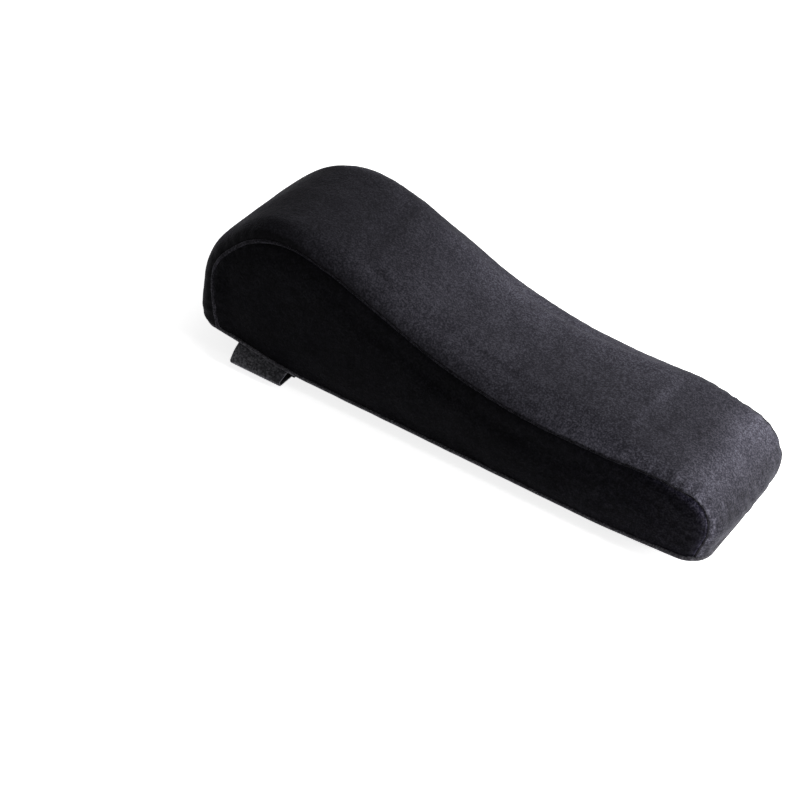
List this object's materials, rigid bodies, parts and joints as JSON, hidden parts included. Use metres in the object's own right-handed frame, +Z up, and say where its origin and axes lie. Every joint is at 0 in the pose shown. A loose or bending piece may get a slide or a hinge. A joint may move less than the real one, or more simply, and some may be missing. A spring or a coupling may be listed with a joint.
{
  "type": "chair armrest pad",
  "caption": "Sloping foam armrest cushion in a sewn velour cover with a zipper and grip dots underneath and hook-and-loop straps that wrap the armrest.",
  "frame": {"origin": "centre of the pad on the surface the stored pad lies on, level with the undersides of its closed straps", "axes": "+X towards the low hand end, +Y to the pad's left side, +Z up"},
  "size_m": [0.2516, 0.086, 0.0765],
  "materials": {
    "foam": "open-cell foam",
    "velour": "short pile, soft sheen",
    "piping": "rolled seam",
    "base_cloth": "flat knit",
    "binding": "folded hem",
    "grip_rubber": "satin dots",
    "zipper_tape": "herringbone tape",
    "zipper_coil": "nylon",
    "zipper_metal": "black enamel",
    "elastic": "ribbed elastic webbing",
    "hook": "moulded hooks",
    "loop": "brushed loop"
  },
  "bodies": {
    "pad": {"foam_core": "foam", "top_panel": "velour", "left_side_panel": "velour", "right_side_panel": "velour", "left_piping": "piping", "right_piping": "piping", "left_base_panel": "base_cloth", "right_base_panel": "base_cloth", "base_binding": "binding", "grip_dots": "grip_rubber", "left_zipper_tape": "zipper_tape", "right_zipper_tape": "zipper_tape", "left_zipper_coil": "zipper_coil", "right_zipper_coil": "zipper_coil", "zipper_top_stops": "zipper_metal", "zipper_bottom_stop": "zipper_metal", "rear_elastic_sewn_end": "elastic", "rear_loop_sewn_end": "loop", "front_elastic_sewn_end": "elastic", "front_loop_sewn_end": "loop"},
    "slider": {"zipper_slider": "zipper_metal"},
    "pull": {"zipper_pull": "zipper_metal"},
    "rear_elastic": {"rear_elastic_strap": "elastic", "rear_hook_patch": "hook"},
    "rear_loop": {"rear_loop_tape": "loop"},
    "front_elastic": {"front_elastic_strap": "elastic", "front_hook_patch": "hook"},
    "front_loop": {"front_loop_tape": "loop"}
  },
  "joints": [
    {"name": "zipper_slide", "type": "slide", "parent": "pad", "child": "slider", "axis": [-1, 0, 0], "range_m": [0, 0.101]},
    {"name": "pull_hinge", "type": "hinge", "parent": "slider", "child": "pull", "pos_m": [0.052, 0, 0.004], "axis": [0, -1, 0], "range_deg": [0, 170]},
    {"name": "rear_elastic_fold", "type": "hinge", "parent": "pad", "child": "rear_elastic", "pos_m": [-0.09, 0.0425, 0.0035], "axis": [1, 0, 0], "range_deg": [0, 120]},
    {"name": "rear_loop_fold", "type": "hinge", "parent": "pad", "child": "rear_loop", "pos_m": [-0.09, -0.0425, 0.0042], "axis": [-1, 0, 0], "range_deg": [0, 90]},
    {"name": "front_elastic_fold", "type": "hinge", "parent": "pad", "child": "front_elastic", "pos_m": [0.09, -0.0285, 0.0035], "axis": [-1, 0, 0], "range_deg": [0, 120]},
    {"name": "front_loop_fold", "type": "hinge", "parent": "pad", "child": "front_loop", "pos_m": [0.09, 0.0285, 0.0042], "axis": [1, 0, 0], "range_deg": [0, 90]}
  ],
  "couplings": [
    {"joint": "rear_loop_fold", "follows": "rear_elastic_fold", "ratio": 0.75},
    {"joint": "front_loop_fold", "follows": "front_elastic_fold", "ratio": 0.75}
  ]
}
